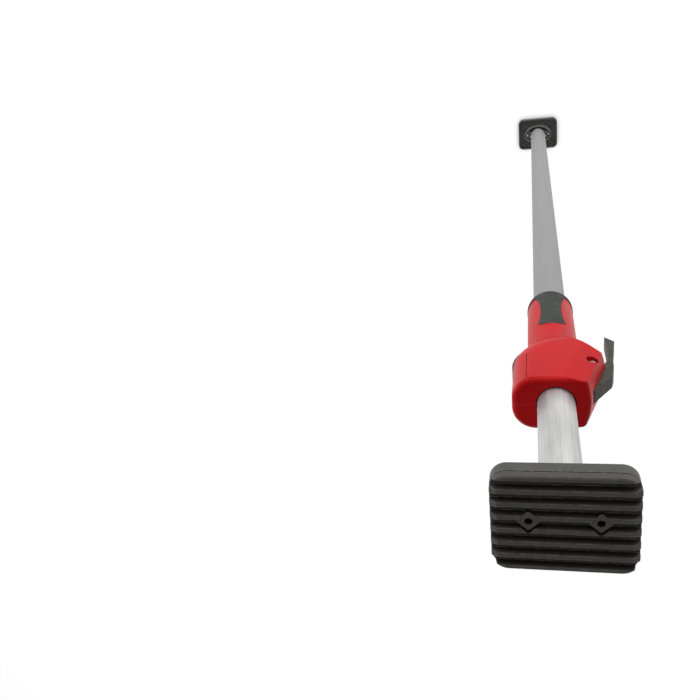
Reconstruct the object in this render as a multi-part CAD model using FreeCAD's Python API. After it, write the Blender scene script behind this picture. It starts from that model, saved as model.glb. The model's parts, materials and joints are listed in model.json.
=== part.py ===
import FreeCAD, Part
import math
import os

Vector = FreeCAD.Vector

# Telescopic prop, millimetres. +Z runs up the tubes, the foot pad's ribs stand on z = 0.
# +X is the pump lever's side, -X the release lever's side, -Y the side with the screw heads.

# Lengths of the whole prop, from contact face to contact face
rest_length = 1553.0
tube_travel = 947.0           # from this length to the longest
grip_setback = 360.0          # grip's lower end below the head's contact face
tube_overlap = 110.0          # inner tube still inside the outer one at full length

# Fits
press_gap = 0.02              # parts that are pressed or bonded together
running_gap = 0.06            # pins in levers and ears, guide in the tube
free_gap = 0.35               # moving pieces that pass each other
slide_gap = 0.3               # between the two tubes
cut_margin = 1.0              # how far a cut runs past the face it opens

# Tubes
outer_diameter = 32.0
outer_wall = 1.0
inner_wall = 1.2

# Pads
pad_length = 89.0
pad_width = 69.0
pad_corner = 11.0
tread_thickness = 7.0
tread_edge = 1.0              # bevel round the sole
joint_height = 0.9            # shadow line between sole and plate
joint_depth = 1.0
rib_count = 8
rib_depth = 4.8
rib_crest = 3.0
rib_base = 5.6
rib_end_run = 4.2
rib_end_drop = 2.8
boss_spacing = 42.7           # diamond bosses round the screws
boss_offset = 2.2             # from the pad's middle, towards one rib
boss_side = 10.2
boss_corner = 1.4
boss_moat = 1.3
boss_drop = 0.8               # below the ribs' crests
nail_spacing = 62.8
nail_hole = 3.2
pad_web = 3.2
pad_rim_height = 10.5
pad_rim_wall = 3.2
pad_edge_round = 1.6
pad_spoke = 2.6
hub_length = 62.0
hub_width = 44.0
hub_wall = 5.0
hub_low_height = 4.0
pivot_height = 27.0           # pad hinge above the contact face
ear_radius = 9.0
barrel_radius = 8.2
pad_pin_diameter = 7.0
pad_pin_head = 1.4

# Tube end plugs
plug_setback = 14.0           # tube end beyond the pad hinge
plug_spigot = 30.0
plug_core = 9.0
plug_chamfer = 2.0
rivet_diameter = 4.0
rivet_head = 3.6
rivet_head_height = 1.2
rivet_rise = 9.0

# Guide on the inner tube's lower end
guide_flange = 6.0
guide_spigot = 24.0
guide_chamfer = 1.2

# Pad screws
pad_screw_shank = 2.8
pad_screw_length = 8.0
pad_screw_head = 4.4
pad_screw_head_height = 2.0
pad_screw_wall = 2.2          # of the plate's posts that the screws bite into

# Grip and housing
grip_length = 113.0           # round part, up to the shoulder
grip_diameter = 44.0
shoulder_slope = 0.6          # radius gained for each millimetre of height
body_half_depth = 23.0
pump_side = 41.5
pump_side_height = 36.0       # above the shoulder, where the pump side starts to lean in
pump_side_front = 26.0
pump_crown = 5.0              # bow of the pump side
release_side = 34.3
release_side_height = 40.0    # above the shoulder, where the release side starts to curve in
release_curve = 45.5
release_round = 19.0
front_round = 4.5
facet_slope = 0.23
facet_foot = 29.6             # where the long facet starts on the flat face, at the shoulder
facet_lean = 0.245            # how fast it runs in towards the tube
facet_band = 2.4
facet_band_slope = 0.1
crease_width = 0.7
crease_depth = 2.4
crease_x = 22.5
crease_rise = 40.0
lug_diameter = 5.6
lug_rise = 40.0

# Soft grip inserts and end ring
insert_depth = 1.5
insert_proud = 0.35
insert_waist = 9.5
insert_flare = 12.5
insert_neck = 14.0
insert_gap = 27.0             # bare grip between the insert and the shoulder
insert_bow = 4.5
ring_height = 9.0
ring_round = 1.3

# Brake and pump stack inside the housing, from the outer tube's end upwards
tube_reach = 1.0              # outer tube above the shoulder
stack_radius = 20.2           # collar and jam plates
stack_gap = 0.5
bore_gap = 1.0                # round the inner tube in the housing's webs
collar_thickness = 4.0
fulcrum_height = 8.0
fulcrum_x = 18.0
fulcrum_width = 12.0
fulcrum_length = 3.0
jam_thickness = 4.0
jam_hole_gap = 0.75
brake_tilt = 3.5
drive_tilt = 2.0
spring_radius = 17.4
spring_wire = 1.8
brake_spring_turns = 4
drive_spring_turns = 3.5
brake_spring_room = 16.0
web_thickness = 16.0
drive_spring_room = 18.0
bush_length = 8.0
bush_wall = 4.2
front_wall = 5.0

# Pump lever, measured from its pivot: out is away from the tube
lever_depth = 12.0
slot_room = 1.0               # round the levers' hubs
slot_end_room = 5.0           # beyond the pump lever's heel
slot_slack = 2.8              # room behind the pump lever's arm for its swing
pump_pivot_x = 29.6
pump_pivot_rise = 1.0         # above the web
pump_hub_radius = 7.4
pump_nose_radius = 3.0
pump_nose_reach = 9.6
pump_nose_rise = 2.0
pump_tip_drop = 79.0
pump_tip_out = 16.1
pump_tip_flare = 7.8
pump_tip_slant = 10.0
pump_elbow_out = 15.7
pump_elbow_drop = 32.0
pump_knee_out = 18.9
pump_knee_drop = 25.0
pump_knee_bow = 0.6
pump_belly_out = 15.8
pump_root_out = 7.4
pump_root_drop = 11.0
pump_heel_out = 0.8
pump_heel_rise = 25.5
pump_heel_width = 5.0
pump_heel_bow = 1.2
pump_pin_diameter = 6.0
pump_pin_round = 1.0
pin_recess = 9.6
pin_recess_floor = 15.5
pin_stub = 2.6

# Release lever
release_width = 16.0
release_pivot_x = -28.4
release_pivot_drop = 23.0     # below the housing's front face
release_hub_radius = 5.0
release_pin_diameter = 5.0
release_pin_length = 26.0
release_sunk = 0.4            # lever's back below the housing's side
release_proud = 2.2           # how far its lower end stands out of the housing
release_bow = 20.0            # degrees round the housing's curve, where it stands out most
release_stem = 6.0            # its thickness at half length
release_swing = 2.0           # degrees
release_wedge_slope = 0.7
release_tip_rise = 1.0        # lever's tip above the outer tube's end
release_tip_width = 1.8
release_tip_room = 3.0

# Housing screws
screw_shank = 3.6
screw_head = 6.0
screw_head_height = 2.6
screw_recess = 9.0
screw_length = 30.0
low_screw_x = -20.5
low_screw_drop = 6.0          # below the web's top
high_screw_x = -23.0
high_screw_drop = 7.0         # below the front face

# Sizes that follow from the ones above
outer_radius = outer_diameter / 2
outer_bore = outer_radius - outer_wall
inner_radius = outer_bore - slide_gap
inner_bore = inner_radius - inner_wall
grip_radius = grip_diameter / 2
longest_length = rest_length + tube_travel
grip_bottom = rest_length - grip_setback
shoulder = grip_bottom + grip_length
plug_end = pivot_height + plug_setback
rib_pitch = (pad_width - rib_crest) / (rib_count - 1)
nail_row = rib_pitch * (rib_count // 2 - 1)
screw_row = (-boss_spacing / 2, boss_spacing / 2)
rim_top = tread_thickness + pad_rim_height
web_top = tread_thickness + pad_web

outer_top = shoulder + tube_reach
collar_top = outer_top + collar_thickness
fulcrum_top = collar_top + fulcrum_height
brake_top = fulcrum_top + jam_thickness
web_bottom = brake_top + brake_spring_room
web_end = web_bottom + web_thickness
pump_pivot_z = web_end + pump_pivot_rise
nose_x = pump_pivot_x - pump_nose_reach
nose_z = pump_pivot_z + pump_nose_rise
drive_bottom = nose_z + pump_nose_radius + free_gap
drive_top = drive_bottom + jam_thickness
bush_bottom = drive_top + drive_spring_room
bush_top = bush_bottom + bush_length
housing_top = bush_top + front_wall
release_pivot_z = housing_top - release_pivot_drop
pocket_radius = stack_radius + stack_gap
inner_top = rest_length - plug_end
inner_bottom = inner_top - (longest_length - plug_end) + outer_top - tube_overlap
release_tip = outer_top + release_tip_rise


def slab(x0, x1, y0, y1, z0, z1):
    return Part.makeBox(x1 - x0, y1 - y0, z1 - z0, Vector(x0, y0, z0))


def rod(radius, start, end):
    axis = end.sub(start)
    return Part.makeCylinder(radius, axis.Length, start, axis)


def upright(radius, z0, z1, x=0.0, y=0.0):
    return rod(radius, Vector(x, y, z0), Vector(x, y, z1))


def sleeve(outside, inside, z0, z1):
    return upright(outside, z0, z1).cut(upright(inside, z0, z1))


def across_y(radius, x, z, y0, y1):
    return rod(radius, Vector(x, y0, z), Vector(x, y1, z))


def path(points, place):
    # A point is (a, b) for a straight run to it, or (a, b, c, d) for an arc through (a, b) to (c, d).
    here = place(*points[0])
    first = here
    edges = []
    for point in points[1:]:
        there = place(*point[-2:])
        if len(point) == 4:
            edges.append(Part.Arc(here, place(*point[:2]), there).toShape())
        else:
            edges.append(Part.LineSegment(here, there).toShape())
        here = there
    if here.distanceToPoint(first) > 1e-6:
        edges.append(Part.LineSegment(here, first).toShape())
    return Part.Wire(edges)


def profile_y(points, half, middle=0.0):
    wire = path(points, lambda x, z: Vector(x, middle - half, z))
    return Part.Face(wire).extrude(Vector(0, 2 * half, 0))


def profile_x(points, half):
    wire = path(points, lambda y, z: Vector(-half, y, z))
    return Part.Face(wire).extrude(Vector(2 * half, 0, 0))


def turned(points):
    wire = path(points, lambda r, z: Vector(r, 0, z))
    return Part.Face(wire).revolve(Vector(0, 0, 0), Vector(0, 0, 1), 360)


def rounded_slab(length, width, corner, z0, z1):
    block = slab(-length / 2, length / 2, -width / 2, width / 2, z0, z1)
    uprights = [e for e in block.Edges if abs(e.Vertexes[0].Z - e.Vertexes[1].Z) > 1e-6]
    return block.makeFillet(corner, uprights)


def oval(length, width, z0, z1):
    curve = Part.Ellipse(Vector(0, 0, z0), length / 2, width / 2).toShape()
    return Part.Face(Part.Wire([curve])).extrude(Vector(0, 0, z1 - z0))


def both_sides(shape):
    return [shape, shape.mirror(Vector(0, 0, 0), Vector(1, 0, 0))]


def one_solid(shape):
    return shape.removeSplitter().Solids[0]


def to_head(shape):
    turned_over = shape.copy()
    turned_over.rotate(Vector(0, 0, 0), Vector(1, 0, 0), 180)
    turned_over.translate(Vector(0, 0, rest_length))
    return turned_over


def nail_holes():
    holes = []
    for x in (-nail_spacing / 2, nail_spacing / 2):
        for y in (-nail_row, nail_row):
            holes.append(upright(nail_hole / 2, -cut_margin, rim_top, x, y))
    return Part.makeCompound(holes)


def make_tread():
    joint = tread_thickness - joint_height
    sole = rounded_slab(pad_length, pad_width, pad_corner, 0, joint)
    rim = [e for e in sole.Edges if e.BoundBox.ZMax < tread_edge]
    sole = sole.makeChamfer(tread_edge, rim)
    neck = rounded_slab(pad_length - 2 * joint_depth, pad_width - 2 * joint_depth, pad_corner - joint_depth,
                        0, tread_thickness)
    neck = neck.cut(rounded_slab(pad_length, pad_width, pad_corner, 0, joint))
    mouth = (rib_pitch - rib_crest) / 2
    floor = (rib_pitch - rib_base) / 2
    bosses = [diamond(x, boss_side, boss_drop, tread_thickness) for x in screw_row]
    rib = slab(-pad_length / 2, pad_length / 2, -(rib_pitch + rib_base) / 2, (rib_base - rib_pitch) / 2, 0,
               tread_thickness)
    cuts = []
    for row in range(rib_count - 1):
        y = (row - (rib_count - 2) / 2) * rib_pitch
        outline = [(y - mouth, 0), (y + mouth, 0), (y + floor, rib_depth), (y - floor, rib_depth)]
        cuts.append(profile_x(outline, pad_length / 2))
    edge = pad_length / 2
    bevel = profile_y([(edge - rib_end_run, 0), (edge, 0), (edge, rib_end_drop)], pad_width / 2)
    cuts += both_sides(bevel)
    cuts += [diamond(x, boss_side + 2 * boss_moat, 0, rib_depth).cut(rib) for x in screw_row]
    cuts += [diamond(x, boss_side, 0, boss_drop) for x in screw_row]
    grooves = [cut.cut(bosses) for cut in cuts]
    wells = [upright(pad_screw_head / 2 + free_gap, 0, tread_thickness, x, -boss_offset) for x in screw_row]
    return one_solid(sole.fuse(neck).cut(grooves).cut(wells + [nail_holes()]))


def diamond(x, side, z0, z1):
    block = slab(-side / 2, side / 2, -side / 2, side / 2, z0, z1)
    uprights = [e for e in block.Edges if abs(e.Vertexes[0].Z - e.Vertexes[1].Z) > 1e-6]
    block = block.makeFillet(boss_corner, uprights)
    block.rotate(Vector(0, 0, 0), Vector(0, 0, 1), 45)
    block.translate(Vector(x, -boss_offset, 0))
    return block


def make_pad_plate():
    plate = rounded_slab(pad_length, pad_width, pad_corner, tread_thickness, rim_top)
    back = [e for e in plate.Edges if e.BoundBox.ZMin > rim_top - 1e-6]
    plate = plate.makeFillet(pad_edge_round, back)
    inside = rounded_slab(pad_length - 2 * pad_rim_wall, pad_width - 2 * pad_rim_wall,
                          pad_corner - pad_rim_wall, web_top, rim_top + cut_margin)
    plate = plate.cut(inside)
    tall = pivot_height + ear_radius
    hub = oval(hub_length, hub_width, tread_thickness, tall)
    hollow = oval(hub_length - 2 * hub_wall, hub_width - 2 * hub_wall, web_top, tall)
    shelf = hub_width / 2
    ear = profile_x([(-shelf, tread_thickness), (shelf, tread_thickness),
                     (shelf, web_top + hub_low_height), (ear_radius, pivot_height),
                     (0, pivot_height + ear_radius, -ear_radius, pivot_height),
                     (-shelf, web_top + hub_low_height)], hub_length / 2)
    ears = hub.cut(hollow).common(ear)
    spokes = []
    reach = math.hypot(pad_length, pad_width) / 2 - pad_corner
    turn = math.degrees(math.atan2(pad_width - 2 * pad_corner, pad_length - 2 * pad_corner))
    for angle in (turn, 180 - turn, 180 + turn, -turn):
        spoke = slab(hub_width / 2 - hub_wall / 2, reach, -pad_spoke / 2, pad_spoke / 2,
                     tread_thickness, web_top + hub_low_height)
        spoke.rotate(Vector(0, 0, 0), Vector(0, 0, 1), angle)
        spokes.append(spoke.cut(oval(hub_length - hub_wall, hub_width - hub_wall, 0, tall)))
    posts = []
    bores = [nail_holes()]
    post_top = tread_thickness + pad_screw_length + pad_screw_wall - pad_screw_head_height
    for x in screw_row:
        posts.append(upright(pad_screw_shank / 2 + pad_screw_wall, tread_thickness, post_top, x,
                             -boss_offset))
        bores.append(upright(pad_screw_shank / 2 + press_gap, 0, tread_thickness + pad_screw_length, x,
                             -boss_offset))
    pin_bore = rod(pad_pin_diameter / 2 + press_gap, Vector(-hub_length, 0, pivot_height),
                   Vector(hub_length, 0, pivot_height))
    return one_solid(plate.fuse([ears] + spokes + posts).cut(bores + [pin_bore]))


def make_pad_pin():
    end = hub_length / 2
    pin = rod(pad_pin_diameter / 2, Vector(-end, 0, pivot_height), Vector(end, 0, pivot_height))
    rims = [e for e in pin.Edges if isinstance(e.Curve, Part.Circle)]
    return pin.makeChamfer(pad_pin_head / 2, rims)


def make_pad_screws():
    screws = []
    for x in screw_row:
        low = tread_thickness - pad_screw_head_height
        shank = upright(pad_screw_shank / 2, low + pad_screw_head_height / 2,
                        tread_thickness + pad_screw_length, x, -boss_offset)
        head = upright(pad_screw_head / 2, low, tread_thickness, x, -boss_offset)
        rim = [e for e in head.Edges if e.BoundBox.ZMax < low + 1e-6]
        head = head.makeFillet(pad_screw_head_height / 2, rim)
        screws.append(head.fuse(shank).removeSplitter().Solids[0])
    return Part.makeCompound(screws)


def make_plug(tube_radius, tube_bore):
    spigot = tube_bore - press_gap
    spigot_end = plug_end + plug_spigot
    core_end = plug_end + rivet_rise + rivet_diameter
    body = turned([(0, pivot_height), (barrel_radius, pivot_height),
                   (barrel_radius, pivot_height + plug_chamfer), (tube_radius, plug_end - plug_chamfer),
                   (tube_radius, plug_end), (spigot, plug_end), (spigot, spigot_end - plug_chamfer),
                   (spigot - plug_chamfer, spigot_end), (plug_core, spigot_end), (plug_core, core_end),
                   (0, core_end)])
    half = barrel_half()
    barrel = rod(barrel_radius, Vector(-half, 0, pivot_height), Vector(half, 0, pivot_height))
    bore = rod(pad_pin_diameter / 2 + running_gap, Vector(-half, 0, pivot_height),
               Vector(half, 0, pivot_height))
    return one_solid(body.fuse(barrel).cut([bore, rivet_shank(tube_radius, press_gap)]))


def barrel_half():
    # The barrel's corners stay inside the oval wall of the pad's hub.
    share = (barrel_radius + free_gap) / (hub_width / 2 - hub_wall)
    return (hub_length / 2 - hub_wall) * math.sqrt(1 - share * share) - free_gap


def rivet_shank(tube_radius, gap):
    z = plug_end + rivet_rise
    return rod(rivet_diameter / 2 + gap, Vector(-tube_radius, 0, z), Vector(tube_radius, 0, z))


def make_rivet(tube_radius):
    rivet = rivet_shank(tube_radius, 0)
    sink = tube_radius - math.sqrt(tube_radius * tube_radius - rivet_head * rivet_head)
    for side in (-1, 1):
        seat = Vector(side * (tube_radius - sink), 0, plug_end + rivet_rise)
        cap = Part.makeCone(rivet_head, rivet_diameter / 2, rivet_head_height + sink, seat,
                            Vector(side, 0, 0))
        rivet = rivet.fuse(cap.cut(upright(tube_radius, plug_end, plug_end + plug_spigot)))
    return one_solid(rivet)


def make_outer_tube():
    tube = sleeve(outer_radius, outer_bore, plug_end, outer_top)
    lugs = across_y(lug_diameter / 2 + press_gap, 0, grip_bottom + lug_rise, -outer_diameter, outer_diameter)
    return one_solid(tube.cut([lugs, rivet_shank(outer_diameter, press_gap)]))


def make_inner_tube():
    tube = sleeve(inner_radius, inner_bore, inner_bottom, inner_top)
    return one_solid(tube.cut(to_head(rivet_shank(outer_diameter, press_gap))))


def make_inner_guide():
    flange = outer_bore - running_gap
    spigot = inner_bore - running_gap
    low = inner_bottom - guide_flange
    high = inner_bottom + guide_spigot
    return turned([(plug_core, low), (flange - guide_chamfer, low), (flange, low + guide_chamfer),
                   (flange, inner_bottom), (spigot, inner_bottom), (spigot, high - guide_chamfer),
                   (spigot - guide_chamfer, high), (plug_core, high)])


def facet_wedge(start, slope):
    # Everything above a sloping plane on the pump side, which leans in towards the front.
    margin = 20.0
    over = 2.0
    far = 2 * pump_side
    loops = []
    for z in (shoulder - margin, housing_top + margin):
        edge = start - facet_lean * (z - shoulder)
        corners = [(edge - over / slope, body_half_depth + over),
                   (edge + far, body_half_depth - far * slope), (edge + far, body_half_depth + over)]
        loops.append(path(corners, lambda x, y: Vector(x, y, z)))
    wedge = Part.makeLoft(loops, True, True)
    return [wedge, wedge.mirror(Vector(0, 0, 0), Vector(0, 1, 0))]


def release_curve_at(angle, outset=0.0):
    # A point of the arc by which the release side runs in to the shoulder.
    turn = math.radians(angle)
    reach = release_curve + outset
    return (release_curve - release_side - reach * math.cos(turn),
            shoulder + release_side_height - reach * math.sin(turn))


def release_block():
    # The rounded section of the release side: straight near the front, turned in towards the shoulder.
    axis = release_curve - release_side
    level = shoulder + release_side_height
    side = body_half_depth - release_round
    inner = release_round - release_side
    bend = release_round * math.sqrt(0.5)
    section = Part.Face(path([(axis, -body_half_depth), (inner, -body_half_depth),
                              (inner - bend, -side - bend, -release_side, -side), (-release_side, side),
                              (inner - bend, side + bend, inner, body_half_depth),
                              (axis, body_half_depth)], lambda x, y: Vector(x, y, level)))
    straight = section.extrude(Vector(0, 0, housing_top - level))
    return straight.fuse(section.revolve(Vector(axis, 0, level), Vector(0, 1, 0), -90))


def pump_block():
    # The bowed pump side: upright over the shoulder, then leaning in towards the front.
    axis = release_curve - release_side
    bend = shoulder + pump_side_height
    sections = []
    for out, z in ((pump_side, shoulder), (pump_side, bend), (pump_side_front, housing_top)):
        corner = out - pump_crown
        outline = [(axis, -body_half_depth), (corner, -body_half_depth),
                   (out, 0, corner, body_half_depth), (axis, body_half_depth)]
        sections.append(path(outline, lambda x, y: Vector(x, y, z)))
    low = Part.makeLoft(sections[:2], True, True)
    return low.fuse(Part.makeLoft(sections[1:], True, True))


def make_block():
    tall = housing_top - shoulder
    cone = Part.makeCone(grip_radius, grip_radius + shoulder_slope * tall, tall, Vector(0, 0, shoulder))
    block = pump_block().fuse(release_block()).common(cone).removeSplitter()
    front = [e for e in block.Edges if e.BoundBox.ZMin > housing_top - 1e-3]
    block = block.makeFillet(front_round, front)
    block = block.cut(facet_wedge(facet_foot, facet_slope))
    return block.cut(facet_wedge(facet_foot - facet_band, facet_band_slope))


def insert_space(side, proud):
    # The waisted field of the soft insert on one face of the grip.
    low = grip_bottom + ring_height
    end = shoulder - insert_gap
    wide = end - insert_bow
    waist = (low + wide) / 2
    field = profile_y([(-insert_neck, low), (insert_neck, low), (insert_waist, waist, insert_flare, wide),
                       (0, end, -insert_flare, wide), (-insert_waist, waist, -insert_neck, low)],
                      grip_radius / 2, side * grip_radius / 2)
    return sleeve(grip_radius + proud, grip_radius - insert_depth, low, shoulder).common(field)


def make_insert(side):
    return one_solid(insert_space(side, insert_proud))


def make_end_ring():
    inside = grip_radius - insert_depth
    outside = grip_radius + insert_proud
    top = grip_bottom + ring_height
    corner = ring_round * (1 - math.sqrt(0.5))
    return turned([(inside, grip_bottom), (outside - ring_round, grip_bottom),
                   (outside - corner, grip_bottom + corner, outside, grip_bottom + ring_round),
                   (outside, top), (inside, top)])


def pump_slot():
    z = pump_pivot_z
    x = pump_pivot_x
    far = 2 * pump_side
    hub = pump_hub_radius + slot_room
    deep = nose_x - pump_nose_radius - slot_room
    top = z + pump_heel_rise + slot_end_room
    lift = drive_top + jam_thickness
    return profile_y([(deep, z - hub), (x - slot_slack, z - hub),
                      (x + slot_slack, z - pump_root_drop - slot_slack),
                      (x + pump_root_out - slot_room, shoulder), (far, shoulder), (far, top),
                      (x - slot_slack, top), (x - hub, lift), (deep, lift)],
                     lever_depth / 2 + free_gap)


def release_slot():
    z = release_pivot_z
    hub = release_hub_radius + slot_room
    near = release_pivot_x + hub
    far = -2 * release_side
    floor = release_tip - release_tip_room
    toe = release_toe_x() + release_travel() + free_gap
    stem = release_stem - release_side + release_travel() + free_gap
    deep = -inner_radius - bore_gap
    return profile_y([(far, floor), (toe, floor), (toe, outer_top), (deep, outer_top),
                      (deep, brake_top), (toe, brake_top + jam_thickness),
                      (stem, web_bottom + jam_thickness),
                      (near, z - 2 * hub), (near, z + hub), (far, z + hub)],
                     release_width / 2 + free_gap)


def housing_screw_places():
    return [(low_screw_x, web_end - low_screw_drop), (high_screw_x, housing_top - high_screw_drop)]


def make_housing():
    body = make_block().fuse(upright(grip_radius, grip_bottom, web_bottom))
    bush = inner_radius + slide_gap + bush_wall
    cuts = [upright(outer_radius + press_gap, grip_bottom - cut_margin, outer_top),
            upright(pocket_radius, outer_top, web_bottom),
            upright(inner_radius + bore_gap, web_bottom, web_end),
            upright(pocket_radius, web_end, bush_bottom),
            upright(bush, bush_bottom, bush_top),
            upright(inner_radius + bore_gap, bush_top, housing_top + cut_margin),
            sleeve(grip_radius + cut_margin, grip_radius - insert_depth, grip_bottom - cut_margin,
                   grip_bottom + ring_height),
            pump_slot(), release_slot(), insert_space(1, cut_margin), insert_space(-1, cut_margin)]
    reach = body_half_depth
    cuts.append(across_y(pump_pin_diameter / 2 + press_gap, pump_pivot_x, pump_pivot_z, -reach, reach))
    half_pin = release_pin_length / 2
    cuts.append(across_y(release_pin_diameter / 2 + press_gap, release_pivot_x, release_pivot_z,
                         -half_pin, half_pin))
    for side in (-1, 1):
        cuts.append(across_y(pin_recess / 2, pump_pivot_x, pump_pivot_z, side * pin_recess_floor,
                             side * reach))
        low, high = sorted((side * (reach - crease_depth), side * (reach + cut_margin)))
        cuts.append(slab(-crease_x - crease_width / 2, -crease_x + crease_width / 2, low, high,
                         shoulder + crease_rise, housing_top + cut_margin))
    seat = screw_recess - reach
    for x, z in housing_screw_places():
        cuts.append(across_y(screw_head / 2 + free_gap, x, z, -reach - cut_margin, seat))
        cuts.append(across_y(screw_shank / 2 + press_gap, x, z, seat, seat + screw_length))
    return body.cut(cuts)


def half_of(housing, side):
    far = 2 * pump_side
    low, high = sorted((0, side * far))
    half = housing.common(slab(-far, far, low, high, grip_bottom, housing_top))
    lug = across_y(lug_diameter / 2, 0, grip_bottom + lug_rise, side * (outer_bore + free_gap),
                   side * (outer_radius + cut_margin))
    return one_solid(half.fuse(lug))


def make_housing_screws():
    screws = []
    seat = screw_recess - body_half_depth
    for x, z in housing_screw_places():
        shank = across_y(screw_shank / 2, x, z, seat - screw_head_height / 2, seat + screw_length)
        head = across_y(screw_head / 2, x, z, seat - screw_head_height, seat)
        screws.append(one_solid(head.fuse(shank)))
    return Part.makeCompound(screws)


def make_collar():
    ring = sleeve(stack_radius, inner_radius + jam_hole_gap, outer_top, collar_top)
    step = slab(fulcrum_x - fulcrum_length / 2, fulcrum_x + fulcrum_length / 2, -fulcrum_width / 2,
                fulcrum_width / 2, outer_top, fulcrum_top)
    return one_solid(ring.fuse(step.common(upright(stack_radius, outer_top, fulcrum_top))))


def jam_plate(bottom):
    return sleeve(stack_radius, inner_radius + jam_hole_gap, bottom, bottom + jam_thickness)


def make_brake_plate():
    plate = jam_plate(fulcrum_top + free_gap)
    plate.rotate(Vector(fulcrum_x, 0, fulcrum_top + free_gap), Vector(0, 1, 0), -brake_tilt)
    return plate


def make_drive_plate():
    tab_half = lever_depth / 2 - free_gap
    tab = slab(inner_radius + jam_thickness, nose_x + pump_nose_radius, -tab_half, tab_half,
               drive_bottom, drive_top)
    plate = one_solid(jam_plate(drive_bottom).fuse(tab))
    plate.rotate(Vector(nose_x, 0, drive_bottom), Vector(0, 1, 0), -drive_tilt)
    return plate


def coil(z0, z1, turns):
    height = z1 - z0 - spring_wire
    helix = Part.makeHelix(height / turns, height, spring_radius)
    helix.translate(Vector(0, 0, z0 + spring_wire / 2))
    start = Vector(spring_radius, 0, z0 + spring_wire / 2)
    heading = Vector(0, 2 * math.pi * spring_radius, height / turns)
    section = Part.Wire([Part.Circle(start, heading, spring_wire / 2).toShape()])
    return Part.Wire(helix.Edges).makePipeShell([section], True, True)


def make_brake_spring():
    return coil(brake_top + 2 * free_gap, web_bottom - free_gap / 2, brake_spring_turns)


def make_drive_spring():
    return coil(drive_top + free_gap, bush_bottom - free_gap / 2, drive_spring_turns)


def make_guide_bush():
    return sleeve(inner_radius + slide_gap + bush_wall - press_gap, inner_radius + slide_gap,
                  bush_bottom, bush_top)


def make_pump_lever():
    x = pump_pivot_x
    z = pump_pivot_z
    tip = z - pump_tip_drop
    corner = pump_hub_radius * math.sqrt(0.5)
    arm = profile_y([(x + pump_tip_out, tip),
                     (x + pump_tip_out + pump_tip_flare, tip + pump_tip_slant),
                     (x + pump_knee_out, z - pump_knee_drop),
                     (x + pump_knee_out - pump_knee_bow, z - pump_knee_drop / 2, x + pump_belly_out, z),
                     (x + pump_heel_out, z + pump_heel_rise),
                     (x + pump_heel_out - pump_heel_width / 2, z + pump_heel_rise + pump_heel_bow,
                      x + pump_heel_out - pump_heel_width, z + pump_heel_rise - pump_heel_bow),
                     (x - corner, z + corner), (x - corner, z - corner),
                     (x + pump_root_out, z - pump_root_drop),
                     (x + pump_elbow_out, z - pump_elbow_drop)], lever_depth / 2)
    half = lever_depth / 2
    hub = across_y(pump_hub_radius, x, z, -half, half)
    nose = across_y(pump_nose_radius, nose_x, nose_z, -half, half)
    neck = profile_y([(nose_x, nose_z + pump_nose_radius), (x, z + pump_pin_diameter),
                      (x, z - pump_pin_diameter), (nose_x, nose_z - pump_nose_radius)], half)
    bore = across_y(pump_pin_diameter / 2 + running_gap, x, z, -half, half)
    return one_solid(arm.fuse([hub, nose, neck]).cut(bore))


def make_pump_pin():
    end = pin_recess_floor + pin_stub
    pin = across_y(pump_pin_diameter / 2, pump_pivot_x, pump_pivot_z, -end, end)
    rims = [e for e in pin.Edges if isinstance(e.Curve, Part.Circle)]
    return pin.makeFillet(pump_pin_round, rims)


def release_travel():
    return math.radians(release_swing) * (release_pivot_z - collar_top)


def release_toe_x():
    return -stack_radius - free_gap - release_travel()


def wedge_top(x):
    edge_drop = (fulcrum_x + stack_radius) * math.tan(math.radians(brake_tilt))
    return fulcrum_top - edge_drop + (-stack_radius - x) * release_wedge_slope


def make_release_lever():
    x = release_pivot_x
    z = release_pivot_z
    hub = release_hub_radius
    toe = release_toe_x()
    point = -inner_radius - 2 * free_gap - release_travel() - release_sunk
    sole = collar_top + free_gap
    back = release_sunk - release_side
    corner = hub * math.sqrt(0.5)
    lever = profile_y([(back, z + corner), (back, shoulder + release_side_height + release_stem),
                       release_curve_at(release_bow, release_proud) + (toe - release_tip_width, release_tip),
                       (toe, release_tip), (toe, sole), (point, sole), (point, wedge_top(point)),
                       (toe, wedge_top(toe)), (toe, brake_top + jam_thickness),
                       (release_stem - release_side, web_bottom + jam_thickness),
                       (x + corner, z - corner), (x + corner, z + corner)], release_width / 2)
    half = release_width / 2
    lever = lever.fuse(across_y(hub, x, z, -half, half))
    return one_solid(lever.cut(across_y(release_pin_diameter / 2 + running_gap, x, z, -half, half)))


def make_release_pin():
    half = release_pin_length / 2
    return across_y(release_pin_diameter / 2, release_pivot_x, release_pivot_z, -half, half)


def make_parts():
    housing = make_housing()
    parts = {
        "outer_tube": make_outer_tube(),
        "housing_front": half_of(housing, -1),
        "housing_rear": half_of(housing, 1),
        "housing_screws": make_housing_screws(),
        "grip_insert_front": make_insert(-1),
        "grip_insert_rear": make_insert(1),
        "grip_end_ring": make_end_ring(),
        "thrust_collar": make_collar(),
        "brake_plate": make_brake_plate(),
        "brake_spring": make_brake_spring(),
        "drive_plate": make_drive_plate(),
        "drive_spring": make_drive_spring(),
        "guide_bush": make_guide_bush(),
        "pump_lever": make_pump_lever(),
        "pump_lever_pin": make_pump_pin(),
        "release_lever": make_release_lever(),
        "release_lever_pin": make_release_pin(),
        "inner_tube": make_inner_tube(),
        "inner_guide": make_inner_guide(),
        "foot_plug": make_plug(outer_radius, outer_bore),
        "foot_plug_rivet": make_rivet(outer_radius),
        "head_plug": to_head(make_plug(inner_radius, inner_bore)),
        "head_plug_rivet": to_head(make_rivet(inner_radius)),
    }
    pad = {"tread": make_tread(), "plate": make_pad_plate(), "hinge_pin": make_pad_pin(),
           "pad_screws": make_pad_screws()}
    for name, shape in pad.items():
        parts["foot_" + name] = shape
        parts["head_" + name] = to_head(shape)
    return parts


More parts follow.
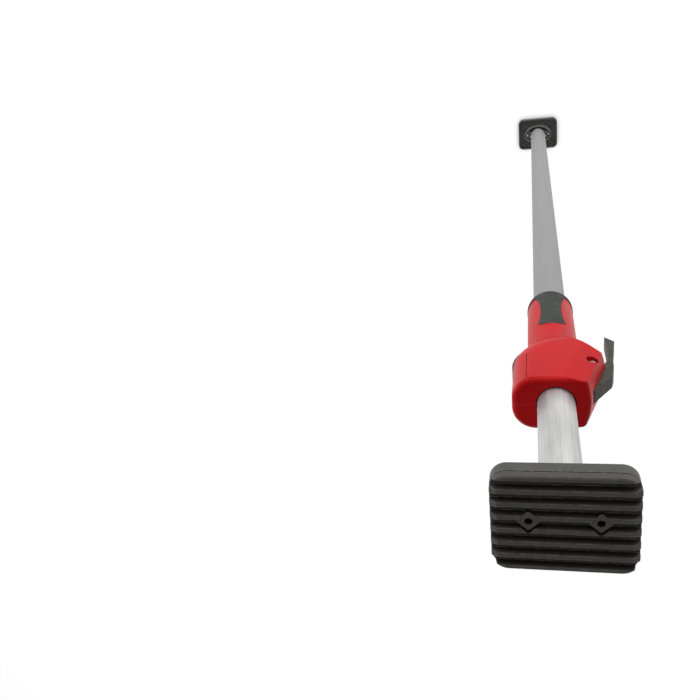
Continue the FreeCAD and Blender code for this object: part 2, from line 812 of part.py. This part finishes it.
os.makedirs("parts", exist_ok=True)
for name, shape in make_parts().items():
    print(name, len(shape.Solids), shape.isValid(), round(shape.Volume))
    shape.exportStep("parts/" + name + ".step")
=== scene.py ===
import bmesh
import bpy
import json
import math
from mathutils import Matrix, Vector


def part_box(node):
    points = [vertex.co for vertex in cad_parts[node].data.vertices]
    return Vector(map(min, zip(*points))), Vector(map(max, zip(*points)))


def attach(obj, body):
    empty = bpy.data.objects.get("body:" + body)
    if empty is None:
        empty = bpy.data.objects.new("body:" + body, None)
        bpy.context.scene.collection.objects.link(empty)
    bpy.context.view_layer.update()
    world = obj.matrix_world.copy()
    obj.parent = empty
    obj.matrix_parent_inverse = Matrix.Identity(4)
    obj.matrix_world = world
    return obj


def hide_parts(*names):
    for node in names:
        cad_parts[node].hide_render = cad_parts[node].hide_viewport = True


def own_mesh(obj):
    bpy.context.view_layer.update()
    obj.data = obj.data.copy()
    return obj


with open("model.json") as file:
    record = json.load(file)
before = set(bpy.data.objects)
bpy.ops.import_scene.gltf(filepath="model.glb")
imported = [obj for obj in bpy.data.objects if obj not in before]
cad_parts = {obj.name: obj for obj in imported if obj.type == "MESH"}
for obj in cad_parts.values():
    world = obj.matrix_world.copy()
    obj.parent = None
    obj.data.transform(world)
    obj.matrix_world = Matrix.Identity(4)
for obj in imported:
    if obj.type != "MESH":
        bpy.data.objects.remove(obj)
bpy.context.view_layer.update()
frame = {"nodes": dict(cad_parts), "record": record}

scene = bpy.context.scene
nodes = frame["nodes"]
fullTurn = 2 * math.pi
print("prop loaded:", len(nodes), "nodes")


def shade(red, green, blue):  # screen colour 0-255 to the linear colour that shaders want
    def linear(value):
        value /= 255
        return value / 12.92 if value <= 0.04045 else ((value + 0.055) / 1.055) ** 2.4
    return (linear(red), linear(green), linear(blue), 1.0)


def put(tree, kind, inputs=None, **fields):  # one node, with its fields set and its inputs filled or linked
    node = tree.nodes.new(kind)
    for name, value in fields.items():
        setattr(node, name, value)
    for name, value in (inputs or {}).items():
        if isinstance(value, bpy.types.NodeSocket):
            tree.links.new(value, node.inputs[name])
        else:
            node.inputs[name].default_value = value
    return node


def newFinish(name, sockets):  # material with its plain numbers on the shader's own sockets
    material = bpy.data.materials.new(name)
    material.use_nodes = True
    tree = material.node_tree
    surface = tree.nodes["Principled BSDF"]
    for socket, value in sockets.items():
        surface.inputs[socket].default_value = value
    return material, tree, surface


def place(tree, stretch=(1, 1, 1)):  # the piece's own coordinates in metres, stretched for streaks
    where = put(tree, "ShaderNodeTexCoord").outputs["Object"]
    return put(tree, "ShaderNodeMapping", {"Vector": where, "Scale": stretch}).outputs["Vector"]


def grain(tree, where, size, detail, rough=0.55):  # noise whose lumps are about size metres
    return put(tree, "ShaderNodeTexNoise", {"Vector": where, "Scale": 1 / size, "Detail": detail,
                                            "Roughness": rough}).outputs["Fac"]


mixSpan = (0.35, 0.65)  # the stretch of a noise that takes one colour fully to the other
wideSpan = (0.3, 0.7)  # the same, with a softer change


def spread(tree, value, span, reach=(0, 1)):  # a span of values drawn out to another reach
    return put(tree, "ShaderNodeMapRange", {"Value": value, "From Min": span[0], "From Max": span[1],
                                            "To Min": reach[0], "To Max": reach[1]}).outputs["Result"]


def maths(tree, operation, first, second):
    return put(tree, "ShaderNodeMath", {0: first, 1: second}, operation=operation).outputs[0]


def tint(tree, factor, first, second):  # colours or colour sockets, mixed by a factor
    mix = put(tree, "ShaderNodeMix", data_type="RGBA")
    tree.links.new(factor, mix.inputs["Factor"])
    for name, colour in (("A", first), ("B", second)):
        if isinstance(colour, bpy.types.NodeSocket):
            tree.links.new(colour, mix.inputs[name])
        else:
            mix.inputs[name].default_value = colour
    return mix.outputs["Result"]


wearLook = {"samples": 8, "turn": (0.99, 0.86), "detail": 4, "patches": (0.42, 0.6)}


def edgeWear(tree, where, row):  # up to the row's share on rubbed patches along the sharp edges, 0 elsewhere
    rounded = put(tree, "ShaderNodeBevel", {"Radius": row["radius"]}, samples=wearLook["samples"])
    flat = put(tree, "ShaderNodeNewGeometry")
    turn = put(tree, "ShaderNodeVectorMath", {0: rounded.outputs["Normal"], 1: flat.outputs["Normal"]},
               operation="DOT_PRODUCT").outputs["Value"]
    patches = spread(tree, grain(tree, where, row["patch"], wearLook["detail"]), wearLook["patches"])
    edges = maths(tree, "MULTIPLY", spread(tree, turn, wearLook["turn"]), patches)
    return maths(tree, "MULTIPLY", edges, row["share"])


scratchLook = {"detail": 2, "rough": 0.4, "lines": (0.66, 0.72)}


def scratches(tree, row):  # thin broken lines along the squeezed axis
    noise = grain(tree, place(tree, row["stretch"]), row["size"], scratchLook["detail"], scratchLook["rough"])
    return maths(tree, "MULTIPLY", spread(tree, noise, scratchLook["lines"]), row["share"])


bevelSamples = 6


def connect(tree, surface, look, colour, roughness, height):  # bump is depth in metres and strength
    tree.links.new(colour, surface.inputs["Base Color"])
    tree.links.new(roughness, surface.inputs["Roughness"])
    depth, strength = look["bump"]
    bump = put(tree, "ShaderNodeBump", {"Height": height, "Distance": depth, "Strength": strength})
    if "rounding" in look:
        rounded = put(tree, "ShaderNodeBevel", {"Radius": look["rounding"]}, samples=bevelSamples)
        tree.links.new(rounded.outputs["Normal"], bump.inputs["Normal"])
    tree.links.new(bump.outputs["Normal"], surface.inputs["Normal"])


# In the looks below a noise is its lump size in metres and its detail.
redShellLook = {
    "sockets": {"Specular IOR Level": 0.08},
    "colour": shade(200, 20, 24), "dark": shade(190, 13, 18), "rubbed": shade(214, 84, 80),
    "rough": (0.3, 0.42), "cloud": (0.03, 3), "spark": (0.0006, 2),
    "bump": (0.00006, 0.3), "rounding": 0.0007,
    "wear": {"radius": 0.0011, "patch": 0.006, "share": 0.45},
    "scuffs": {"stretch": (1, 0.12, 0.3), "size": 0.0022, "share": 0.16},
}


def redShell():
    look = redShellLook
    material, tree, surface = newFinish("redShell", look["sockets"])
    where = place(tree)
    cloud = grain(tree, where, *look["cloud"])
    base = tint(tree, spread(tree, cloud, mixSpan), look["dark"], look["colour"])
    worn = maths(tree, "MAXIMUM", edgeWear(tree, where, look["wear"]), scratches(tree, look["scuffs"]))
    base = tint(tree, worn, base, look["rubbed"])
    rough = spread(tree, cloud, wideSpan, look["rough"])
    connect(tree, surface, look, base, rough, grain(tree, where, *look["spark"]))
    return material


softGripLook = {
    "sockets": {"Specular IOR Level": 0.2, "Sheen Weight": 0.04, "Sheen Roughness": 0.6},
    "colour": shade(58, 60, 55), "dark": shade(46, 48, 44), "rubbed": shade(88, 90, 83),
    "rough": (0.6, 0.85), "cell": 0.0008, "cloud": (0.012, 4), "bump": (0.00018, 0.4),
    "wear": {"radius": 0.0009, "patch": 0.004, "share": 0.5},
}


def softGrip():
    look = softGripLook
    material, tree, surface = newFinish("softGrip", look["sockets"])
    where = place(tree)
    pebbles = put(tree, "ShaderNodeTexVoronoi", {"Vector": where, "Scale": 1 / look["cell"]})
    cells = pebbles.outputs["Distance"]
    cloud = grain(tree, where, *look["cloud"])
    base = tint(tree, spread(tree, cloud, mixSpan), look["dark"], look["colour"])
    base = tint(tree, edgeWear(tree, where, look["wear"]), base, look["rubbed"])
    connect(tree, surface, look, base, spread(tree, cells, (0, 1), look["rough"]), cells)
    return material


outerPaintLook = {
    "sockets": {"Metallic": 0.2, "Specular IOR Level": 0.25},
    "colour": shade(153, 153, 153), "dark": shade(142, 142, 142), "scuff": shade(116, 116, 115),
    "rough": (0.44, 0.58), "along": (1, 1, 0.02), "streak": (0.002, 4), "peel": (0.0011, 2),
    "bump": (0.00005, 0.3),
    "scuffs": {"stretch": (1, 1, 0.035), "size": 0.0016, "share": 0.4},
}


def outerPaint():
    look = outerPaintLook
    material, tree, surface = newFinish("outerPaint", look["sockets"])
    streak = grain(tree, place(tree, look["along"]), *look["streak"])
    base = tint(tree, spread(tree, streak, wideSpan), look["dark"], look["colour"])
    base = tint(tree, scratches(tree, look["scuffs"]), base, look["scuff"])
    rough = spread(tree, streak, wideSpan, look["rough"])
    connect(tree, surface, look, base, rough, grain(tree, place(tree), *look["peel"]))
    return material


innerSteelLook = {
    "sockets": {"Metallic": 0.8, "Specular IOR Level": 0.3},
    "colour": shade(203, 203, 201), "dark": shade(170, 171, 170),
    "rough": (0.42, 0.56), "roughSpan": (0.25, 0.75), "bump": (0.00002, 0.25),
    "along": (1, 1, 0.015), "streak": (0.0012, 5), "streakShare": 0.6,
    "cloudAlong": (1, 1, 0.25), "cloud": (0.008, 2), "cloudShare": 0.4,
}


def innerSteel():
    look = innerSteelLook
    material, tree, surface = newFinish("innerSteel", look["sockets"])
    streak = grain(tree, place(tree, look["along"]), *look["streak"])
    cloud = grain(tree, place(tree, look["cloudAlong"]), *look["cloud"])
    blend = maths(tree, "ADD", maths(tree, "MULTIPLY", streak, look["streakShare"]),
                  maths(tree, "MULTIPLY", cloud, look["cloudShare"]))
    base = tint(tree, spread(tree, blend, wideSpan), look["dark"], look["colour"])
    connect(tree, surface, look, base, spread(tree, blend, look["roughSpan"], look["rough"]), streak)
    return material


leverLook = {
    "sockets": {"Specular IOR Level": 0.12},
    "colour": shade(76, 75, 65), "dark": shade(60, 60, 52), "rubbed": shade(122, 120, 108),
    "rough": (0.42, 0.58), "cloud": (0.01, 3), "sheen": (0.004, 3), "skin": (0.0005, 2),
    "bump": (0.00008, 0.4), "rounding": 0.0005,
    "wear": {"radius": 0.0009, "patch": 0.005, "share": 0.6},
}


def leverPlastic():
    look = leverLook
    material, tree, surface = newFinish("leverPlastic", look["sockets"])
    where = place(tree)
    cloud = grain(tree, where, *look["cloud"])
    base = tint(tree, spread(tree, cloud, mixSpan), look["dark"], look["colour"])
    base = tint(tree, edgeWear(tree, where, look["wear"]), base, look["rubbed"])
    rough = spread(tree, grain(tree, where, *look["sheen"]), wideSpan, look["rough"])
    connect(tree, surface, look, base, rough, grain(tree, where, *look["skin"]))
    return material


steelLook = {"sockets": {"Metallic": 1.0}, "fine": (0.0007, 4), "blotch": (0.004, 3), "uneven": (0.6, 1.3),
             "bump": (0.00002, 0.2)}
steelColours = {
    "brightSteel": {"colour": shade(186, 184, 176), "dark": shade(146, 144, 138), "rough": (0.3, 0.46)},
    "hardSteel": {"colour": shade(120, 120, 122), "dark": shade(92, 92, 95), "rough": (0.32, 0.5)},
    "springSteel": {"colour": shade(150, 150, 153), "dark": shade(116, 116, 120), "rough": (0.25, 0.4)},
    "darkScrew": {"colour": shade(124, 121, 114), "dark": shade(84, 82, 78), "rough": (0.28, 0.46)},
}


def turnedSteel(name):
    look = steelLook
    colours = steelColours[name]
    material, tree, surface = newFinish(name, look["sockets"])
    where = place(tree)
    fine = grain(tree, where, *look["fine"])
    uneven = spread(tree, grain(tree, where, *look["blotch"]), wideSpan, look["uneven"])
    base = tint(tree, maths(tree, "MULTIPLY", fine, uneven), colours["dark"], colours["colour"])
    connect(tree, surface, look, base, spread(tree, fine, wideSpan, colours["rough"]), fine)
    return material


blackLook = {
    "sockets": {"Specular IOR Level": 0.4},
    "dust": (0.018, 5), "dustSpan": (0.45, 0.8), "dustReach": (0, 0.55),
    "sheen": (0.005, 3), "skin": (0.0006, 2), "bump": (0.00008, 0.4), "rounding": 0.0004,
    "wear": {"radius": 0.001, "patch": 0.0025, "share": 0.7},
}
blackColours = {
    "bearingPlastic": {"colour": shade(38, 38, 38), "dusty": shade(52, 51, 49), "rubbed": shade(70, 70, 68),
                       "rough": (0.4, 0.55)},
    "padPlastic": {"colour": shade(60, 60, 58), "dusty": shade(78, 77, 73), "rubbed": shade(140, 140, 134),
                   "rough": (0.4, 0.54)},
}


def blackPlastic(name):
    look = blackLook
    colours = blackColours[name]
    material, tree, surface = newFinish(name, look["sockets"])
    where = place(tree)
    dust = spread(tree, grain(tree, where, *look["dust"]), look["dustSpan"], look["dustReach"])
    base = tint(tree, dust, colours["colour"], colours["dusty"])
    base = tint(tree, edgeWear(tree, where, look["wear"]), base, colours["rubbed"])
    rough = spread(tree, grain(tree, where, *look["sheen"]), wideSpan, colours["rough"])
    connect(tree, surface, look, base, rough, grain(tree, where, *look["skin"]))
    return material


padRubberLook = {
    "sockets": {"Specular IOR Level": 0.3},
    # painted shade: the groove colour stands for the shade in the grooves, the crest colour is the rubber's
    # own grey
    "groove": shade(13, 12, 11), "crest": shade(68, 65, 59), "dusty": shade(100, 96, 88),
    # rubbed edges, made lighter than wear alone would as a painted highlight along the rim's chamfer
    "edge": shade(150, 147, 139),
    "shelter": 0.006, "shelterSpan": (0.45, 0.95), "shelterSamples": 8,
    "crumb": (0.0016, 5), "crumbSpan": (0.58, 0.72), "crumbReach": (0, 0.5),
    "drift": (0.02, 3), "driftSpan": (0.4, 0.7), "driftReach": (0.1, 1),
    "rough": (0.55, 0.75), "skin": (0.0007, 3), "bump": (0.00012, 0.45), "rounding": 0.0011,
    "wear": {"radius": 0.0012, "patch": 0.006, "share": 0.55},
}


def padRubber():  # painted shade: an occlusion mask darkens the grooves nearly black, the open faces keep the grey crest colour with crumbs of dust on them
    look = padRubberLook
    material, tree, surface = newFinish("padRubber", look["sockets"])
    where = place(tree)
    # painted shade: this occlusion mask darkens the grooves towards the near-black groove colour
    near = put(tree, "ShaderNodeAmbientOcclusion", {"Distance": look["shelter"]},
               samples=look["shelterSamples"], only_local=True)
    base = tint(tree, spread(tree, near.outputs["AO"], look["shelterSpan"]), look["groove"], look["crest"])
    crumbs = spread(tree, grain(tree, where, *look["crumb"]), look["crumbSpan"], look["crumbReach"])
    drift = spread(tree, grain(tree, where, *look["drift"]), look["driftSpan"], look["driftReach"])
    base = tint(tree, maths(tree, "MULTIPLY", crumbs, drift), base, look["dusty"])
    # the rubbed edges are lightened more than wear alone would, as a painted highlight along the chamfer
    base = tint(tree, edgeWear(tree, where, look["wear"]), base, look["edge"])
    rough = spread(tree, crumbs, look["crumbReach"], look["rough"])
    connect(tree, surface, look, base, rough, grain(tree, where, *look["skin"]))
    return material


finishes = {
    "red_plastic": redShell(),
    "soft_grip": softGrip(),
    "outer_paint": outerPaint(),
    "inner_steel": innerSteel(),
    "lever_plastic": leverPlastic(),
    "bright_steel": turnedSteel("brightSteel"),
    "hard_steel": turnedSteel("hardSteel"),
    "spring_steel": turnedSteel("springSteel"),
    "bearing_plastic": blackPlastic("bearingPlastic"),
    "pad_rubber": padRubber(),
    "pad_plastic": blackPlastic("padPlastic"),
    "dark_screw": turnedSteel("darkScrew"),
}
slotOf = {row["node"]: row["material_slot"] for row in frame["record"]["subparts"]}
for name, node in nodes.items():
    node.data.materials.clear()
    node.data.materials.append(finishes[slotOf[name]])
print("finishes on", len(slotOf), "nodes")

leverEdges = {"widths": {"pump_lever": 0.0009, "release_lever": 0.0008},  # metres
              "seam": 1e-5, "segments": 2, "sharperThan": 28}  # metres, steps, degrees


def softenEdges(node, width):
    weld = node.modifiers.new("seams", "WELD")
    weld.merge_threshold = leverEdges["seam"]
    bevel = node.modifiers.new("edges", "BEVEL")
    bevel.width = width
    bevel.segments = leverEdges["segments"]
    bevel.limit_method = "ANGLE"
    bevel.angle_limit = math.radians(leverEdges["sharperThan"])
    bevel.use_clamp_overlap = True
    normals = node.modifiers.new("normals", "WEIGHTED_NORMAL")
    normals.keep_sharp = False


for name, width in leverEdges["widths"].items():
    softenEdges(nodes[name], width)
print("edges rounded on", len(leverEdges["widths"]), "nodes")


def skin(shape, rings, smooth=False):  # faces between rings of as many points, closed at both ends
    count = len(rings[0])
    for near, far in zip(rings, rings[1:]):
        for step in range(count):
            after = (step + 1) % count
            shape.faces.new((near[step], far[step], far[after], near[after])).smooth = smooth
    shape.faces.new(rings[0])
    shape.faces.new(reversed(rings[-1]))
    bmesh.ops.recalc_face_normals(shape, faces=shape.faces)


def meshObject(name, shape):
    mesh = bpy.data.meshes.new(name)
    shape.to_mesh(mesh)
    shape.free()
    piece = bpy.data.objects.new(name, mesh)
    scene.collection.objects.link(piece)
    return piece


screwLook = {
    "sides": 32, "pitch": 0.0009, "root": 0.84, "tip": 0.2,  # thread in metres, root and tip in shank radii
    "dome": ((0.5, 0), (0.8, 0.1), (0.95, 0.28), (1, 0.5), (1, 0.92), (0.96, 1)),  # in head radii and heights
    "wing": 0.2, "reach": 0.66,  # the cross, in head radii
    "crossLevels": ((1.1, 0.2), (0.5, -0.6)),  # its scale and its level in head heights, mouth and bottom
}
padScrew = {"head": 0.0022, "height": 0.002, "shank": 0.0014}  # head radius and height, shank radius
shellScrew = {"head": 0.003, "height": 0.0026, "shank": 0.0018}
screwRows = {  # body, the way that the head faces, and the screw
    "head_pad_screws": {"body": "head_pad", "out": (0, 0, 1), **padScrew},
    "foot_pad_screws": {"body": "foot_pad", "out": (0, 0, -1), **padScrew},
    "housing_screws": {"body": "stand", "out": (0, -1, 0), **shellScrew},
}


def turned(profile, sides):  # mesh of a radius and height profile turned about Z
    shape = bmesh.new()
    turns = [fullTurn * step / sides for step in range(sides)]
    rings = []
    for radius, height in profile:
        rings.append([shape.verts.new((radius * math.cos(t), radius * math.sin(t), height)) for t in turns])
    skin(shape, rings)
    return shape


def crossCutter(radius, height):  # tapered cross that presses the driver's recess
    shape = bmesh.new()
    rings = []
    for scale, level in screwLook["crossLevels"]:
        wing = screwLook["wing"] * radius * scale
        reach = screwLook["reach"] * radius * scale
        corners = ((reach, -wing), (reach, wing), (wing, wing))
        ring = []
        for quarter in range(4):
            turn = Matrix.Rotation(quarter * fullTurn / 4, 3, "Z")
            ring += [shape.verts.new(turn @ Vector((x, y, level * height))) for x, y in corners]
        rings.append(ring)
    skin(shape, rings)
    return shape


def crossScrew(row, length):  # upright, with the top of its head at the origin
    radius, height, shank = row["head"], row["height"], row["shank"]
    pitch = screwLook["pitch"]
    profile = [(radius * across, -height * down) for across, down in screwLook["dome"]]
    profile += [(shank, -height)]
    level = -height - pitch
    while level > -length + shank:
        profile += [(shank, level), (screwLook["root"] * shank, level - pitch / 2)]
        level -= pitch
    profile += [(screwLook["tip"] * shank, -length)]
    screw = meshObject("screw", turned(profile, screwLook["sides"]))
    cutter = meshObject("cutter", crossCutter(radius, height))
    recess = screw.modifiers.new("recess", "BOOLEAN")
    recess.operation = "DIFFERENCE"
    recess.solver = "EXACT"
    recess.object = cutter
    pressed = bpy.data.meshes.new_from_object(screw.evaluated_get(bpy.context.evaluated_depsgraph_get()))
    bpy.data.objects.remove(screw)
    bpy.data.objects.remove(cutter)
    return pressed


def placeScrews(node, row):  # the two screws stand at opposite corners of their node's box
    low, high = (Vector(corner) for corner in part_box(node))
    out = Vector(row["out"])
    axis = [abs(value) for value in row["out"]].index(1)
    first, second = [a for a in range(3) if a != axis]
    pressed = crossScrew(row, high[axis] - low[axis])
    turn = out.to_track_quat("Z", "Y").to_matrix().to_4x4()
    both = bmesh.new()
    for far in (True, False):
        spot = Vector((0, 0, 0))
        spot[axis] = high[axis] if out[axis] > 0 else low[axis]
        spot[first] = high[first] - row["head"] if far else low[first] + row["head"]
        spot[second] = low[second] + row["head"] if far else high[second] - row["head"]
        copy = pressed.copy()
        copy.transform(Matrix.Translation(spot) @ turn)
        both.from_mesh(copy)
        bpy.data.meshes.remove(copy)
    bpy.data.meshes.remove(pressed)
    words = node.split("_")
    piece = meshObject("".join([words[0]] + [word.title() for word in words[1:]]), both)
    piece.data.materials.append(finishes[slotOf[node]])
    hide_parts(node)
    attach(piece, row["body"])


for name, row in screwRows.items():
    placeScrews(name, row)
print("cross-head screws placed:", len(screwRows), "groups")

springLook = {"node": "drive_spring", "joint": "drive_stroke", "wire": 0.0009, "turns": 3.5, "flat": 0.75,
              "steps": 40, "sides": 10}  # wire radius in metres, flat turns at each end, points per turn


def driveSpring():  # coil with closed ends; the rising drive plate presses the real spring shorter, but here it keeps the length of its node's box
    look = springLook
    wire = look["wire"]
    low, high = (Vector(corner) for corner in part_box(look["node"]))
    radius = (high.x - low.x) / 2 - wire
    bottom = low.z + wire
    rise = high.z - low.z - 2 * wire
    count = int(look["turns"] * look["steps"])
    shape = bmesh.new()
    rings = []
    for step in range(count + 1):
        turn = look["turns"] * step / count
        share = min(max((turn - look["flat"]) / (look["turns"] - 2 * look["flat"]), 0), 1)
        centre = Vector((0, 0, bottom + rise * share))
        outward = Vector((math.cos(fullTurn * turn), math.sin(fullTurn * turn), 0))
        ring = []
        for side in range(look["sides"]):
            angle = fullTurn * side / look["sides"]
            across = outward * (radius + wire * math.cos(angle))
            ring.append(shape.verts.new(centre + across + Vector((0, 0, wire * math.sin(angle)))))
        rings.append(ring)
    skin(shape, rings, smooth=True)
    piece = meshObject("driveSpring", shape)
    piece.data.materials.append(finishes[slotOf[look["node"]]])
    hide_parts(look["node"])
    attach(piece, "stand")
    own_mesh(piece)


driveSpring()

stageLook = {"floorSize": 30.0, "floorDrop": 0.0005, "floorGrey": 0.9, "glow": 0.9, "ambient": 0.24,
             "contact": 0.014, "contactSamples": 8, "contactSpan": (0, 0.9), "white": 1.06}


def seenDirectly(tree):  # 1 for the camera and for reflections, 0 for the light that falls on the prop
    seen = put(tree, "ShaderNodeLightPath").outputs
    return maths(tree, "MAXIMUM", maths(tree, "MAXIMUM", seen["Is Camera Ray"], seen["Is Glossy Ray"]),
                 seen["Is Transmission Ray"])


def whiteFloor():  # glows white where it is seen, with a painted shadow that darkens it close to the foot
    look = stageLook
    bpy.ops.mesh.primitive_plane_add(size=look["floorSize"], location=(0, 0, -look["floorDrop"]))
    floor = bpy.context.object
    floor.name = "floor"
    material = bpy.data.materials.new("floorWhite")
    material.use_nodes = True
    tree = material.node_tree
    tree.nodes.clear()
    share = maths(tree, "MULTIPLY", seenDirectly(tree), look["glow"])
    grey = look["floorGrey"]
    matte = put(tree, "ShaderNodeBsdfDiffuse", {"Color": (grey, grey, grey, 1)})
    # painted shadow: an occlusion mask dims the floor's white glow close to the foot
    near = put(tree, "ShaderNodeAmbientOcclusion", {"Distance": look["contact"]},
               samples=look["contactSamples"])
    light = spread(tree, near.outputs["AO"], look["contactSpan"], (0, look["white"]))
    glow = put(tree, "ShaderNodeEmission", {"Color": (1, 1, 1, 1), "Strength": light})
    mix = put(tree, "ShaderNodeMixShader", {"Fac": share})
    tree.links.new(matte.outputs[0], mix.inputs[1])
    tree.links.new(glow.outputs[0], mix.inputs[2])
    tree.links.new(mix.outputs[0], put(tree, "ShaderNodeOutputMaterial").inputs["Surface"])
    floor.data.materials.append(material)


def studioWorld():
    world = bpy.data.worlds.new("studio")
    scene.world = world
    world.use_nodes = True
    tree = world.node_tree
    tree.nodes.clear()
    power = spread(tree, seenDirectly(tree), (0, 1), (stageLook["ambient"], 1.0))
    sky = put(tree, "ShaderNodeBackground", {"Color": (1, 1, 1, 1), "Strength": power})
    tree.links.new(sky.outputs[0], put(tree, "ShaderNodeOutputWorld").inputs["Surface"])


lamps = {  # place, aim, width and height, and power of each soft box
    "keyBox": {"at": (1.3, 2.4, 0.6), "aim": (0, 0, 1.3), "size": (3.0, 1.6), "power": 42},
    "sideBox": {"at": (-2.4, 0.7, 1.1), "aim": (0, 0, 1.3), "size": (2.0, 1.2), "power": 28},
    "footBox": {"at": (0.8, 1.8, 0.1), "aim": (0, 0, 0.3), "size": (1.6, 1.0), "power": 14},
    "backBox": {"at": (-0.5, -2.5, 0.8), "aim": (0, 0, 1.0), "size": (3.0, 1.8), "power": 34},
    "soleBox": {"at": (-0.3, 1.5, 1.85), "aim": (0, 0, 1.55), "size": (0.8, 0.5), "power": 5},
}


def softBox(name, row):
    lamp = bpy.data.lights.new(name, "AREA")
    lamp.shape = "RECTANGLE"
    lamp.size, lamp.size_y = row["size"]
    lamp.energy = row["power"]
    box = bpy.data.objects.new(name, lamp)
    scene.collection.objects.link(box)
    box.location = row["at"]
    box.rotation_euler = (Vector(row["aim"]) - Vector(row["at"])).to_track_quat("-Z", "Y").to_euler()


view = {"at": (-0.0156, 0.2923, 1.9474), "right": (0.97179, -0.11063, -0.20830),
        "up": (0.01697, 0.91368, -0.40608), "lens": 39.28, "sensor": 36.0, "nearest": 0.01}


def photoCamera():
    data = bpy.data.cameras.new("photoCamera")
    data.lens = view["lens"]
    data.sensor_width = view["sensor"]
    data.sensor_fit = "HORIZONTAL"
    data.clip_start = view["nearest"]
    camera = bpy.data.objects.new("photoCamera", data)
    scene.collection.objects.link(camera)
    right = Vector(view["right"]).normalized()
    up = Vector(view["up"]).normalized()
    back = right.cross(up)
    turn = Matrix((right, up, back)).transposed()
    camera.matrix_world = Matrix.Translation(view["at"]) @ turn.to_4x4()
    scene.camera = camera


whiteFloor()
studioWorld()
for name, row in lamps.items():
    softBox(name, row)
photoCamera()
scene.view_settings.view_transform = "Standard"
print("stage, lights and camera set")
